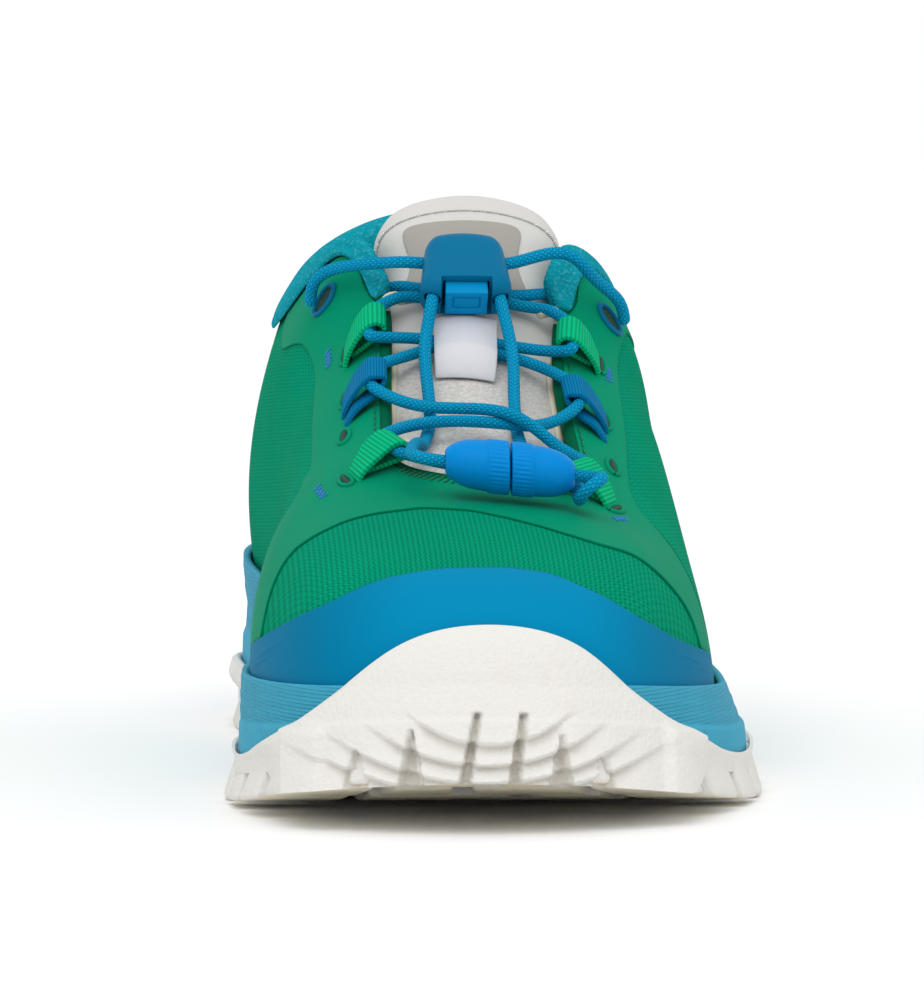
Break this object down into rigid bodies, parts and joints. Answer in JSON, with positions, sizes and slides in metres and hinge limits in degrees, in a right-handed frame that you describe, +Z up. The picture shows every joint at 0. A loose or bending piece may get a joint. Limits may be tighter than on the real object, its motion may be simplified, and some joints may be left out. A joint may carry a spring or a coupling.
{
  "type": "hiking shoe",
  "caption": "Low left-foot hiking shoe with a knit upper, blue toe cap, rubber toe bumper, lugged outsole and an elastic cord lace with a spring lock.",
  "frame": {"origin": "on the floor, under the middle of the shoe's bounding box", "axes": "+Z up, toe toward -Y, heel toward +Y, lateral (little toe) side toward +X"},
  "size_m": [0.102, 0.2802, 0.1096],
  "materials": {
    "white_rubber": "matte, finely stippled",
    "blue_foam": "matte moulded foam",
    "green_knit": "open mesh knit",
    "green_film": "smooth satin film",
    "cap_blue": "smooth satin film",
    "teal_knit": "padded knit",
    "grey_foam": "cloth on foam",
    "pale_knit": "heathered knit",
    "plate_grey": "satin",
    "keeper_white": "smooth",
    "web_green": "ribbed webbing",
    "web_blue": "ribbed webbing",
    "lace_blue": "braided cord",
    "lock_blue": "satin moulded",
    "button_dark": "satin moulded",
    "barrel_blue": "satin moulded"
  },
  "bodies": {
    "shoe": {"upper": "green_knit", "midsole": "blue_foam", "insole": "grey_foam", "outsole": "white_rubber", "toe_cap": "cap_blue", "saddle": "green_film", "collar_cuff": "teal_knit", "tongue": "pale_knit", "tongue_plate": "plate_grey", "lace_keeper": "keeper_white", "loop_top_medial": "web_green", "loop_middle_medial": "web_blue", "loop_low_medial": "web_green", "loop_top_lateral": "web_green", "loop_middle_lateral": "web_blue", "loop_low_lateral": "web_green", "slot_medial": "lock_blue", "slot_lateral": "lock_blue", "lace_crossings": "lace_blue", "lock_housing": "lock_blue", "barrel_medial": "barrel_blue", "barrel_lateral": "barrel_blue", "cord_slot_medial": "lace_blue", "cord_slot_lateral": "lace_blue", "cord_tail_medial": "lace_blue", "cord_tail_lateral": "lace_blue"},
    "lock_button": {"lock_button": "button_dark"}
  },
  "joints": [
    {"name": "lock_button_press", "type": "slide", "parent": "shoe", "child": "lock_button", "axis": [0, 0.7744, 0.6327], "range_m": [0, 0.002], "stiffness_N_per_m": 1500, "springref_m": -0.001}
  ]
}
